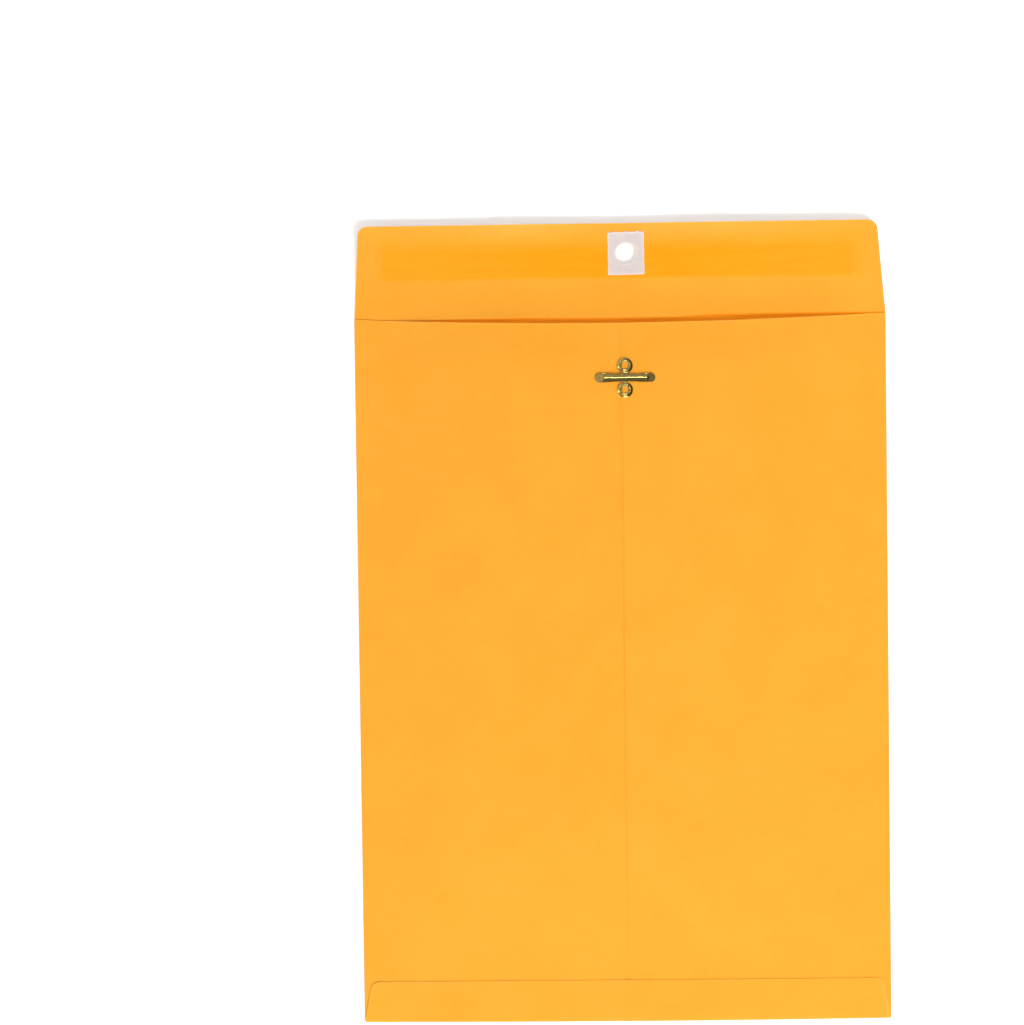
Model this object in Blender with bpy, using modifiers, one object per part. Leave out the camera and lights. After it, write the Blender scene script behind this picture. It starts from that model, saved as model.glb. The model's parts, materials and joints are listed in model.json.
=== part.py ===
"""Clasp envelope for 9 by 12 in sheets, lying on its address face with the flap open and the prongs flat.

Units are metres. +Z is up, +Y runs towards the closure flap, and +X is to the right from the clasp side.
The origin is on the resting plane, under the middle of the part's outline.
"""

from math import cos, pi, radians, sin, sqrt, tan

import bmesh
import bpy
from mathutils import Matrix, Vector

# Folded kraft blank
BODY_WIDTH = 0.2286
BODY_LENGTH = 0.3048
PAPER = 0.00015
SEAM_OVERLAP = 0.019
MOUTH_DIP = 0.003
BOTTOM_FLAP = 0.0171
BOTTOM_FLAP_INSET = 0.0035
BOTTOM_FLAP_CORNER = 0.003

# How the empty pocket stands open
EDGE_GAP = 0.0006  # free height inside the side folds
PUFF = 0.004  # further rise of the back over the pocket's middle
POCKET_FLAT = 0.054  # half the width of the level middle of the back
PUFF_START = 0.002  # from the bottom flap's edge to where the back starts to rise
PUFF_RUN = 0.065

# Closure flap, with its gum and its hole patch
FLAP_LENGTH = 0.0396
FLAP_INSET_LEFT = 0.0024
FLAP_INSET_RIGHT = 0.0049
FLAP_CORNER = 0.0038
FLAP_LIFT = radians(3)  # how far the crease holds the open flap up
FLAP_CURL = 0.003  # further rise of the free edge
FOLD_OVER_GAP = 0.00025  # space that the folded flap leaves above the back at the crease
HOLE_RADIUS = 0.0045
HOLE_FROM_CREASE = 0.0267
HOLE_OFFSET = 0.0031  # right of the envelope's middle
PATCH_WIDTH = 0.0155
PATCH_LENGTH = 0.0181
PATCH = 0.0001
GUM_FROM_CREASE = 0.0157
GUM_HEIGHT = 0.0195
GUM_INSET = 0.009
GUM = 0.00005

# Clasp, stamped from sheet metal
CLASP_FROM_CREASE = 0.0266
CLASP_OFFSET = 0.0021  # right of the envelope's middle
SEAM_TO_CLASP = 0.0016  # from the seam's edge to the clasp's centre
RING_SPACING = 0.0104
RING_RADIUS = 0.0034
RING_EDGE = 0.0002
RING_DOME = 0.0006
EYE_WIDTH = 0.0026  # square hole in each ring, where the paper shows
CLAW = 0.00025
CLAW_WIDTH = 0.0015
CLINCH = 0.0012  # how far each claw is bent out under the paper
BASE_PLATE = 0.0003
NECK_WIDTH = 0.0037
PRONG_LENGTH = 0.01295  # from the clasp's centre to the tip
PRONG_ROOT_WIDTH = 0.0034
PRONG_TIP_WIDTH = 0.004
PRONG = 0.00035
RIB_LENGTH = 0.0103
RIB_WIDTH = 0.0018
RIB_HEIGHT = 0.00025

# Adhesive and clearances
GLUE = 0.0001
GLUE_INSET = 0.003
SHEET_GAP = 0.00005  # between sheets and films that lie on each other
BUTT_GAP = 0.0001  # between panels that meet edge to edge at a fold
SEAM_EASE = 0.004  # width over which the bottom flap climbs onto the seam
SLIT_CLEARANCE = 0.0001  # between a claw and the paper that it goes through

# Facets
PANEL_STEPS = 2
ROLL_STEPS = 6
RAMP_STEPS = 8
CORNER_STEPS = 4
ROUND_STEPS = 32
PRONG_TIP_ARC = radians(78)  # of a quarter turn on each side, which leaves the tip a short blunt end
WELD = 1e-6
EMPTY_SIZE = 0.01

# Levels and lines that follow from the sizes above
Y_BOTTOM = -(BODY_LENGTH + FLAP_LENGTH) / 2
Y_CREASE = Y_BOTTOM + BODY_LENGTH
HALF_WIDTH = BODY_WIDTH / 2
LAYER = PAPER + GLUE + 2 * SHEET_GAP  # step from one glued layer of paper to the next
SIDE_ROLL = PAPER + EDGE_GAP / 2
HALF_INNER = HALF_WIDTH - SIDE_ROLL
Z_WING = PAPER + EDGE_GAP
Z_BACK = Z_WING + PUFF + LAYER + PAPER  # top of the seam, under the clasp
BOTTOM_ROLL = (Z_WING + 2 * LAYER + PAPER) / 2
X_CLASP = CLASP_OFFSET
Y_CLASP = Y_CREASE - CLASP_FROM_CREASE
Z_CLASP = Z_BACK + SHEET_GAP
X_SEAM = X_CLASP - SEAM_TO_CLASP
X_HOLE = HOLE_OFFSET
Y_HOLE = Y_CREASE + HOLE_FROM_CREASE
Y_PANEL = Y_BOTTOM + BOTTOM_ROLL + BUTT_GAP
Y_PUFF = Y_BOTTOM + BOTTOM_FLAP + PUFF_START
Y_MOUTH = Y_CREASE - MOUTH_DIP
EYE = EYE_WIDTH / 2
CLAW_DEPTH = LAYER + PAPER + 2 * SHEET_GAP  # from under a ring to the feet of its claws
CLAW_OUT = EYE + CLAW / 2 - SHEET_GAP  # from a ring's centre to the middle of a claw
RINGS = (("upper", Y_CLASP + RING_SPACING / 2), ("lower", Y_CLASP - RING_SPACING / 2))
Z_PRONG = Z_CLASP + SHEET_GAP + BASE_PLATE + SHEET_GAP + PRONG / 2
PRONG_AXIS = PRONG / 2 + RIB_HEIGHT + SHEET_GAP  # from the clasp's centre to each bend line
PUNCH_DEPTH = 2 * (Z_BACK + FLAP_LENGTH * tan(FLAP_LIFT) + FLAP_CURL)  # well past any sheet on both sides

KRAFT = (0.95, 0.43, 0.045)
KRAFT_LOOK = (KRAFT, 0.7, 0.0)
GUM_LOOK = ((0.98, 0.40, 0.02), 0.25, 0.0)
PATCH_LOOK = ((0.84, 0.70, 0.67), 0.7, 0.0)
GLUE_LOOK = ((0.80, 0.66, 0.42), 0.4, 0.0)
BRASS_LOOK = ((0.60, 0.48, 0.20), 0.3, 1.0)


def smooth(t):
    t = min(max(t, 0), 1)
    return t * t * (3 - 2 * t)


def spread(first, last, steps):
    return [first + (last - first) * i / steps for i in range(steps + 1)]


def corner_rows(end, radius):
    """Rows through a rounded corner, from where it starts to the sheet's end."""
    return [end - radius * (1 - sin(angle)) for angle in spread(0, pi / 2, CORNER_STEPS)]


def corner_loss(to_end, radius):
    """How far a rounded corner draws a side in, at this distance from the sheet's end."""
    reach = min(max(radius - to_end, 0), radius)
    return radius - sqrt(radius**2 - reach**2)


def clear_scene():
    for old in list(bpy.data.objects):
        bpy.data.objects.remove(old, do_unlink=True)


def new_collection(name):
    collection = bpy.data.collections.new(name)
    bpy.context.scene.collection.children.link(collection)
    return collection


def new_material(name, look):
    colour, roughness, metallic = look
    material = bpy.data.materials.new(name)
    material.use_nodes = True
    shader = material.node_tree.nodes["Principled BSDF"]
    shader.inputs["Base Color"].default_value = (*colour, 1)
    shader.inputs["Roughness"].default_value = roughness
    shader.inputs["Metallic"].default_value = metallic
    return material


def new_part(name, mesh, look, parent):
    """One sub-part, measured from its parent empty, which sits on the joint's axis if the part moves."""
    part = bpy.data.objects.new(name, mesh)
    part.parent = parent
    mesh.materials.append(new_material(name, look))
    parts.objects.link(part)
    return part


def new_empty(name, place):
    empty = bpy.data.objects.new(name, None)
    empty.location = place
    empty.empty_display_size = EMPTY_SIZE
    parts.objects.link(empty)
    return empty


def thicken(surface, thickness):
    solid = surface.modifiers.new("thickness", "SOLIDIFY")
    solid.thickness = thickness
    solid.offset = 0
    solid.use_even_offset = True


def sheet(name, columns, rows, place, thickness, look, parent):
    """A grid whose point (column, row) goes to place(column, row), midway through a sheet's thickness."""
    mesh = bpy.data.meshes.new(name)
    grid = bmesh.new()
    across = len(columns) - 1
    along = len(rows) - 1
    bmesh.ops.create_grid(grid, x_segments=across, y_segments=along, size=1)
    for vertex in grid.verts:
        column = columns[round((vertex.co.x + 1) / 2 * across)]
        row = rows[round((vertex.co.y + 1) / 2 * along)]
        vertex.co = Vector(place(column, row)) - parent.location
    grid.to_mesh(mesh)
    grid.free()
    part = new_part(name, mesh, look, parent)
    thicken(part, thickness)
    return part


def cutter(name, mesh, place):
    tool = bpy.data.objects.new(name, mesh)
    tool.location = place
    tool.hide_render = True
    tool.display_type = "WIRE"
    cutters.objects.link(tool)
    return tool


def punch(name, x, y, z, radius):
    """A round cutter along Z, long enough for any sheet here."""
    mesh = bpy.data.meshes.new(name)
    tube = bmesh.new()
    bmesh.ops.create_cone(
        tube, cap_ends=True, segments=ROUND_STEPS, radius1=radius, radius2=radius, depth=PUNCH_DEPTH
    )
    tube.to_mesh(mesh)
    tube.free()
    return cutter(name, mesh, (x, y, z))


def combine(part, tool, operation):
    boolean = part.modifiers.new(tool.name, "BOOLEAN")
    boolean.object = tool
    boolean.operation = operation
    boolean.solver = "EXACT"


def across_pocket(x):
    """0 at the side folds, 1 over the level middle of the back."""
    return smooth((HALF_INNER - abs(x)) / (HALF_INNER - POCKET_FLAT))


def along_pocket(y):
    """0 under the bottom flap, 1 from the end of the rise to the mouth."""
    return smooth((y - Y_PUFF) / PUFF_RUN)


def lower_wing_z(x, y):
    return Z_WING + PUFF * across_pocket(x) * along_pocket(y)


def upper_wing_z(x, y):
    return lower_wing_z(x, y) + LAYER * across_pocket(x)


def bottom_flap_z(x):
    """Underside of the bottom flap, which climbs onto the right wing's edge."""
    climb = across_pocket(x)
    if x < X_SEAM:
        climb = smooth((x - (X_SEAM - BUTT_GAP - SEAM_EASE)) / SEAM_EASE)
    return Z_WING + LAYER + LAYER * climb


def flap_z(distance):
    """Middle of the flap's paper at this distance from the crease."""
    return PAPER / 2 + distance * tan(FLAP_LIFT) + FLAP_CURL * (distance / FLAP_LENGTH) ** 2


def mouth_y(x):
    return Y_CREASE - MOUTH_DIP * (1 - (x / HALF_WIDTH) ** 2)


def ramp_rows():
    return spread(Y_PUFF, Y_PUFF + PUFF_RUN, RAMP_STEPS)


def make_front_panel():
    def place(x, y):
        return x, y, PAPER / 2

    half = HALF_INNER - BUTT_GAP
    sheet("front_panel", [-half, half], [Y_PANEL, Y_CREASE], place, PAPER, KRAFT_LOOK, pocket)


def make_wing(name, side, inner_edge, underside):
    """One half of the back: the rolled side fold, then the panel that runs in to the seam."""
    roll = SIDE_ROLL - PAPER / 2

    def place(column, row):
        if column < 0:
            angle = pi * (1 + column)
            x = side * (HALF_INNER + roll * sin(angle))
            z = SIDE_ROLL - roll * cos(angle)
        else:
            x = side * (HALF_INNER - column)
            z = underside(x, row) + PAPER / 2
        return x, min(row, mouth_y(x)), z

    level = HALF_INNER - POCKET_FLAT
    columns = spread(-1, 0, ROLL_STEPS)[:-1]
    columns += spread(0, level, RAMP_STEPS)
    columns += [HALF_INNER - side * inner_edge]
    last_level_row = Y_MOUTH - GLUE_INSET
    rows = [Y_PANEL] + ramp_rows() + [last_level_row, Y_CREASE]
    return sheet(name, columns, rows, place, PAPER, KRAFT_LOOK, pocket)


def make_seam_glue(inner_edge):
    def place(x, y):
        return x, y, lower_wing_z(x, y) + PAPER + SHEET_GAP + GLUE / 2

    columns = [X_SEAM + GLUE_INSET, inner_edge - GLUE_INSET]
    rows = [Y_PANEL + GLUE_INSET] + ramp_rows() + [Y_MOUTH - GLUE_INSET]
    return sheet("seam_glue", columns, rows, place, GLUE, GLUE_LOOK, pocket)


def make_back():
    inner_edge = X_SEAM + SEAM_OVERLAP
    layers = [
        make_wing("left_wing", -1, inner_edge, lower_wing_z),
        make_wing("right_wing", 1, X_SEAM, upper_wing_z),
        make_seam_glue(inner_edge),
    ]
    for name, y in RINGS:
        slits = claw_slits(name + "_claw_slits", y)
        for layer in layers:
            combine(layer, slits, "DIFFERENCE")


def make_bottom_flap():
    """The flap that closes the bottom: its roll under the wings' ends, then the glued panel over them."""
    end = Y_BOTTOM + BOTTOM_FLAP

    def place(column, row):
        if row < 0:
            y = Y_BOTTOM + BOTTOM_ROLL - (BOTTOM_ROLL - PAPER / 2) * sin(pi * (1 + row))
        else:
            y = Y_BOTTOM + BOTTOM_ROLL + row
        half = HALF_WIDTH - BOTTOM_FLAP_INSET * (y - Y_BOTTOM) / BOTTOM_FLAP
        x = column * (half - corner_loss(end - y, BOTTOM_FLAP_CORNER)) / HALF_WIDTH
        z = bottom_flap_z(x) + PAPER / 2
        if row < 0:
            rise = z - PAPER / 2
            z = PAPER / 2 + rise * (1 - cos(pi * (1 + row))) / 2
        return x, y, z

    climb = X_SEAM - BUTT_GAP
    columns = spread(-HALF_WIDTH, climb - SEAM_EASE, PANEL_STEPS)[:-1]
    columns += spread(climb - SEAM_EASE, climb, CORNER_STEPS)
    columns += spread(POCKET_FLAT, HALF_INNER, RAMP_STEPS)
    columns += [HALF_WIDTH]
    reach = BOTTOM_FLAP - BOTTOM_ROLL
    rows = spread(-1, 0, ROLL_STEPS) + corner_rows(reach, BOTTOM_FLAP_CORNER)
    sheet("bottom_flap", columns, rows, place, PAPER, KRAFT_LOOK, pocket)


def make_bottom_glue():
    def place(x, y):
        return x, y, bottom_flap_z(x) - SHEET_GAP - GLUE / 2

    half = HALF_WIDTH - BOTTOM_FLAP_INSET - BOTTOM_FLAP_CORNER - GLUE_INSET
    climb = X_SEAM - BUTT_GAP
    columns = [-half] + spread(climb - SEAM_EASE, climb, CORNER_STEPS)
    columns += spread(POCKET_FLAT, half, RAMP_STEPS)
    rows = [Y_BOTTOM + BOTTOM_ROLL + GLUE_INSET, Y_BOTTOM + BOTTOM_FLAP - GLUE_INSET]
    sheet("bottom_glue", columns, rows, place, GLUE, GLUE_LOOK, pocket)


def make_flap():
    """The closure flap, open, with the gum band and the hole patch on its inner face."""

    def place(column, distance):
        taper = distance / FLAP_LENGTH
        corner = corner_loss(FLAP_LENGTH - distance, FLAP_CORNER)
        left = -HALF_WIDTH + FLAP_INSET_LEFT * taper + corner
        right = HALF_WIDTH - FLAP_INSET_RIGHT * taper - corner
        return left + (right - left) * column, Y_CREASE + distance, flap_z(distance)

    def film(offset):
        return lambda x, distance: (x, Y_CREASE + distance, flap_z(distance) + offset)

    columns = spread(0, 1, RAMP_STEPS)
    rows = spread(BUTT_GAP, FLAP_LENGTH - FLAP_CORNER, RAMP_STEPS)[:-1]
    rows += corner_rows(FLAP_LENGTH, FLAP_CORNER)
    paper = sheet("closure_flap", columns, rows, place, PAPER, KRAFT_LOOK, flap)

    on_paper = PAPER / 2 + SHEET_GAP + GUM / 2
    columns = spread(GUM_INSET - HALF_WIDTH, HALF_WIDTH - GUM_INSET, PANEL_STEPS)
    rows = spread(GUM_FROM_CREASE, GUM_FROM_CREASE + GUM_HEIGHT, RAMP_STEPS)
    gum = sheet("gum_band", columns, rows, film(on_paper), GUM, GUM_LOOK, flap)

    on_gum = on_paper + GUM / 2 + SHEET_GAP + PATCH / 2
    columns = [X_HOLE - PATCH_WIDTH / 2, X_HOLE + PATCH_WIDTH / 2]
    rows = spread(HOLE_FROM_CREASE - PATCH_LENGTH / 2, HOLE_FROM_CREASE + PATCH_LENGTH / 2, RAMP_STEPS)
    patch = sheet("hole_patch", columns, rows, film(on_gum), PATCH, PATCH_LOOK, flap)

    hole = punch("flap_hole_punch", X_HOLE, Y_HOLE, flap_z(HOLE_FROM_CREASE), HOLE_RADIUS)
    for layer in (paper, gum, patch):
        combine(layer, hole, "DIFFERENCE")


def box_mesh(name, width, length, low, high):
    mesh = bpy.data.meshes.new(name)
    box = bmesh.new()
    middle = Matrix.Translation((0, 0, (low + high) / 2))
    bmesh.ops.create_cube(box, size=1, matrix=middle @ Matrix.Diagonal((width, length, high - low, 1)))
    box.to_mesh(mesh)
    box.free()
    return mesh


def claw_turns():
    """A ring's four claws stand on the four sides of its square hole."""
    return [Matrix.Rotation(quarter * pi / 2, 4, "Z") for quarter in range(4)]


def claw_slits(name, y):
    """A cutter for the four slits that a ring's claws go through."""
    mesh = bpy.data.meshes.new(name)
    slits = bmesh.new()
    size = Matrix.Diagonal((CLAW + 2 * SLIT_CLEARANCE, CLAW_WIDTH + 2 * SLIT_CLEARANCE, PUNCH_DEPTH, 1))
    for turn in claw_turns():
        bmesh.ops.create_cube(slits, size=1, matrix=turn @ Matrix.Translation((CLAW_OUT, 0, 0)) @ size)
    slits.to_mesh(mesh)
    slits.free()
    return cutter(name, mesh, (X_CLASP, y, Z_BACK))


def ring(name, y):
    """A domed ring, turned about Z."""
    inner = EYE - CLAW
    middle = (RING_RADIUS + inner) / 2
    half = (RING_RADIUS - inner) / 2
    dome = [
        (middle + half * cos(angle), RING_EDGE + RING_DOME * sin(angle))
        for angle in spread(pi, 0, 2 * CORNER_STEPS)
    ]
    profile = dome + [(RING_RADIUS, 0), (inner, 0)]
    mesh = bpy.data.meshes.new(name)
    edges = [(i, (i + 1) % len(profile)) for i in range(len(profile))]
    mesh.from_pydata([(r, 0, z) for r, z in profile], edges, [])
    tool = cutter(name, mesh, (X_CLASP, y, Z_CLASP))
    turn = tool.modifiers.new("turn", "SCREW")
    turn.steps = ROUND_STEPS
    turn.render_steps = ROUND_STEPS
    turn.use_merge_vertices = True
    turn.merge_threshold = WELD
    return tool


def claws(name, y):
    """Four tabs bent down from the sides of a ring's hole, through the paper and out under it."""
    foot = -CLAW_DEPTH - CLAW / 2
    path = [(CLAW_OUT, RING_EDGE), (CLAW_OUT, foot), (CLAW_OUT + CLINCH, foot)]
    mesh = bpy.data.meshes.new(name)
    strips = bmesh.new()
    for turn in claw_turns():
        strip = bmesh.ops.create_grid(strips, x_segments=len(path) - 1, y_segments=1, size=1)
        for vertex in strip["verts"]:
            out, up = path[round(vertex.co.x) + 1]
            vertex.co = turn @ Vector((out, vertex.co.y * CLAW_WIDTH / 2, up))
    strips.to_mesh(mesh)
    strips.free()
    tool = cutter(name, mesh, (X_CLASP, y, Z_CLASP))
    thicken(tool, CLAW)
    return tool


def make_clasp_base():
    """Neck plate, the low ridge between the prongs' bends, and the two clawed rings that hold the seam."""
    low = SHEET_GAP
    neck_length = RING_SPACING - EYE_WIDTH - 4 * CLAW
    neck = box_mesh("clasp_base", NECK_WIDTH, neck_length, low, low + BASE_PLATE)
    base = new_part("clasp_base", neck, BRASS_LOOK, clasp)
    ridge_width = 2 * (PRONG_AXIS - SHEET_GAP)
    ridge_top = Z_PRONG - Z_CLASP - SHEET_GAP
    ridge = box_mesh("bend_ridge", ridge_width, PRONG_ROOT_WIDTH, low + BASE_PLATE / 2, ridge_top)
    combine(base, cutter("bend_ridge", ridge, (X_CLASP, Y_CLASP, Z_CLASP)), "UNION")
    for name, y in RINGS:
        eye = box_mesh(name + "_eye", EYE_WIDTH, EYE_WIDTH, -PUNCH_DEPTH / 2, PUNCH_DEPTH / 2)
        combine(base, ring(name + "_ring", y), "UNION")
        combine(base, claws(name + "_claws", y), "UNION")
        combine(base, cutter(name + "_eye", eye, (X_CLASP, y, Z_CLASP)), "DIFFERENCE")


def make_prong(name, side, hinge):
    """A flat tongue with a rounded tip and a bead stamped along its middle."""
    tip_radius = PRONG_TIP_WIDTH / 2
    reach = PRONG_LENGTH - PRONG_AXIS
    body = reach - tip_radius

    def place(distance, row):
        width = PRONG_ROOT_WIDTH + (PRONG_TIP_WIDTH - PRONG_ROOT_WIDTH) * min(distance / body, 1)
        over = max(distance - body, 0)
        half = width / 2 * sqrt(1 - (over / tip_radius) ** 2)
        y = half * row
        across = max(1 - (2 * y / RIB_WIDTH) ** 2, 0)
        fade = smooth((RIB_LENGTH - distance) / RIB_WIDTH)
        x = X_CLASP + side * (PRONG_AXIS + distance)
        return x, Y_CLASP + y, Z_PRONG + RIB_HEIGHT * across * fade

    round_end = [body + tip_radius * sin(angle) for angle in spread(0, PRONG_TIP_ARC, CORNER_STEPS)]
    columns = spread(0, body, RAMP_STEPS)[:-1] + round_end
    rows = spread(-1, 1, 2 * CORNER_STEPS)
    sheet(name, columns, rows, place, PRONG, BRASS_LOOK, hinge)


clear_scene()
parts = new_collection("clasp_envelope")
cutters = new_collection("clasp_envelope_cutters")
pocket = new_empty("pocket", (0, 0, 0))
flap = new_empty("flap_crease", (0, Y_CREASE, (Z_BACK + FOLD_OVER_GAP) / 2))
clasp = new_empty("clasp", (X_CLASP, Y_CLASP, Z_CLASP))
left_bend = new_empty("left_prong_bend", (X_CLASP - PRONG_AXIS, Y_CLASP, Z_PRONG))
right_bend = new_empty("right_prong_bend", (X_CLASP + PRONG_AXIS, Y_CLASP, Z_PRONG))
make_front_panel()
make_back()
make_bottom_flap()
make_bottom_glue()
make_flap()
make_clasp_base()
make_prong("clasp_left_prong", -1, left_bend)
make_prong("clasp_right_prong", 1, right_bend)
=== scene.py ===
import json
from math import pi, radians, tan

import bmesh
import bpy
import numpy as np
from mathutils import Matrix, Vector


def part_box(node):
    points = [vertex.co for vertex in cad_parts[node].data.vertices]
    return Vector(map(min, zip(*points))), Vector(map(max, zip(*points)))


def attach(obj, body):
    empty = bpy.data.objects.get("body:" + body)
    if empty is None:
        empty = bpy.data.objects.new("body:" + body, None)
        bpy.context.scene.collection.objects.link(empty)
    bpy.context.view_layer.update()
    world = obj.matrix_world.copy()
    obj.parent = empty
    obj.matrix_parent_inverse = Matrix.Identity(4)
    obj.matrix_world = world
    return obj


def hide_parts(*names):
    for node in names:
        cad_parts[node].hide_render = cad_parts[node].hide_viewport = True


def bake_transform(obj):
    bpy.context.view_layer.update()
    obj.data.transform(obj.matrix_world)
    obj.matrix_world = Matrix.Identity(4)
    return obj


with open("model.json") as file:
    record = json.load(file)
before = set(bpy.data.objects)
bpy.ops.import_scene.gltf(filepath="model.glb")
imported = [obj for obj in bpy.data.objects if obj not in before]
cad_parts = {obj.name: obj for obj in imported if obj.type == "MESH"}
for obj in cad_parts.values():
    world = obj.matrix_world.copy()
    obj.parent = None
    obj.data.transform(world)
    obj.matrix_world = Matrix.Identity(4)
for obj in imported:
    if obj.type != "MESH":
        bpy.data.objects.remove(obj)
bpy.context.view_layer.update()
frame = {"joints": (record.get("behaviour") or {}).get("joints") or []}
scene = bpy.context.scene
mm = 0.001

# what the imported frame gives
joints = {j["name"]: Vector(j["pos_m"]) for j in frame["joints"]}
frontLow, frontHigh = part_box("front_panel")
leftLow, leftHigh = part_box("left_wing")
rightLow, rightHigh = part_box("right_wing")
bottomLow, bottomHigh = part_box("bottom_flap")
flapLow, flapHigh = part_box("closure_flap")
gumLow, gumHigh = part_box("gum_band")
patchLow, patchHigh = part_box("hole_patch")
creaseY = joints["flap_crease"].y
paper = frontHigh.z - frontLow.z
layer = rightHigh.z - leftHigh.z  # from one glued layer of paper to the next
halfWidth = rightHigh.x
bottomY = bottomLow.y
seamX = rightLow.x
flapLength = flapHigh.y - creaseY
claspX = (joints["left_prong_bend"].x + joints["right_prong_bend"].x) / 2
claspY = joints["left_prong_bend"].y
print("frame loaded, crease at", round(creaseY, 4), "clasp at", round(claspX, 4), round(claspY, 4))


# camera, fitted to the corners of the body
camera = {
    "place": (-0.01897, 0.0953, 1.2292),
    "turn": (-2.196, 1.293, -0.761),  # degrees from looking straight down
    "lens": 100,
}


def addCamera():
    lens = bpy.data.cameras.new("copyStand")
    lens.lens = camera["lens"]
    stand = bpy.data.objects.new("copyStand", lens)
    stand.location = camera["place"]
    stand.rotation_euler = [radians(angle) for angle in camera["turn"]]
    scene.collection.objects.link(stand)
    scene.camera = stand


# shader maths in Python
class Shade:  # wraps a node tree and one of its sockets
    def __init__(self, tree, socket=None):
        self.tree = tree
        self.socket = socket

    def node(self, kind, settings, sockets, out=0):
        made = self.tree.nodes.new(kind)
        for name, value in settings.items():
            setattr(made, name, value)
        for name, value in sockets.items():
            if isinstance(value, Shade):
                self.tree.links.new(value.socket, made.inputs[name])
            else:
                made.inputs[name].default_value = value
        return Shade(self.tree, made.outputs[out] if made.outputs else None)

    def maths(self, operation, first, second=0.0):
        return self.node("ShaderNodeMath", {"operation": operation}, {0: first, 1: second})

    def __add__(self, other):
        return self.maths("ADD", self, other)

    def __sub__(self, other):
        return self.maths("SUBTRACT", self, other)

    def __rsub__(self, other):
        return self.maths("SUBTRACT", other, self)

    def __mul__(self, other):
        return self.maths("MULTIPLY", self, other)

    def __truediv__(self, other):
        return self.maths("DIVIDE", self, other)

    __radd__ = __add__
    __rmul__ = __mul__

    def size(self):
        return self.maths("ABSOLUTE", self)

    def most(self, other):
        return self.maths("MAXIMUM", self, other)

    def ramp(self, low, high):  # 0 below low, 1 above high, smooth between
        limits = {"Value": self, "From Min": low, "From Max": high}
        return self.node("ShaderNodeMapRange", {"interpolation_type": "SMOOTHSTEP"}, limits)

    def mix(self, first, second):  # colours, by this value
        colours = {0: self, 6: first, 7: second}
        return self.node("ShaderNodeMix", {"data_type": "RGBA"}, colours, 2)

    def stretch(self, x, y, z):
        return self.node("ShaderNodeVectorMath", {"operation": "MULTIPLY"}, {0: self, 1: (x, y, z)})

    def turned(self, degrees):
        return self.node("ShaderNodeVectorRotate", {"rotation_type": "Z_AXIS"},
                         {"Vector": self, "Angle": radians(degrees)})

    def axes(self):
        return [self.node("ShaderNodeSeparateXYZ", {}, {0: self}, axis) for axis in range(3)]

    def noise(self, size, detail=3.0, rough=0.55):  # size of its patches in metres
        return self.node("ShaderNodeTexNoise", {},
                         {"Vector": self, "Scale": 1 / size, "Detail": detail, "Roughness": rough})

    def flecks(self, size, reach):  # 1 in scattered dots
        away = self.node("ShaderNodeTexVoronoi", {}, {"Vector": self, "Scale": 1 / size})
        return 1 - away.ramp(reach * 0.5, reach)

    def bump(self, depth, strength):
        return self.node("ShaderNodeBump", {},
                         {"Height": self, "Distance": depth, "Strength": strength})


def newFinish(name):
    material = bpy.data.materials.new(name)
    material.use_nodes = True
    material.node_tree.nodes.clear()
    return material, Shade(material.node_tree)


def closeFinish(shade, surface):
    shade.node("ShaderNodeOutputMaterial", {}, {"Surface": surface})


def restPlace(shade):  # each point's place at rest, in metres
    return shade.node("ShaderNodeAttribute", {"attribute_name": "rest"}, {}, "Vector")


def stored(shade, name):  # a value kept on the mesh
    return shade.node("ShaderNodeAttribute", {"attribute_name": name}, {}, "Fac")


def colour(r, g, b):
    return (r, g, b, 1.0)


# finishes
kraft = {
    "bright": (1.0, 0.42, 0.032),
    "deep": (0.97, 0.388, 0.024),
    "fibre": (1.0, 0.48, 0.06),
    "wornAndSheen": (1.0, 0.52, 0.09),
    "speck": (0.70, 0.26, 0.012),
    "cloud": 26 * mm,
    "mottle": 3.5 * mm,
    "fibreLength": 2.2 * mm,
    "fibreWidth": 0.22 * mm,
    "fibreTurns": (24, -51, 83),  # degrees
    "fibreShare": 0.35,
    "speckSpacing": 7 * mm,
    "speckSize": 0.045,  # of that spacing
    "speckShare": 0.22,
    "wearAndSheenShare": 0.5,
    "relief": 0.05 * mm,
    "paintedPocketShade": (1.0, 0.40, 0.002),  # painted shade: paper deep in the pocket, lit only by light off other paper
    "paintedSlitShade": (0.74, 0.25, 0.0),  # painted shade: paper darker along the crease in the mouth's slit
    "through": (0.195, 0.042, 0.0),  # painted glow: an emission standing in for light that the thin paper lets into the pocket
    "roughness": 0.62,
    "edgeReach": 0.35 * mm,  # how far in from a free edge the paper is worn
    "foldWear": 0.35,
}


def fibres(place, sheet):  # strands that lie at a few angles
    width = sheet["fibreWidth"]
    strands = None
    for angle in sheet["fibreTurns"]:
        along = place.turned(angle).stretch(width / sheet["fibreLength"], 1, 1)
        lying = along.noise(width * 2, 2, 0.5)
        strands = strands.most(lying) if strands else lying
    return strands


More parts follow.
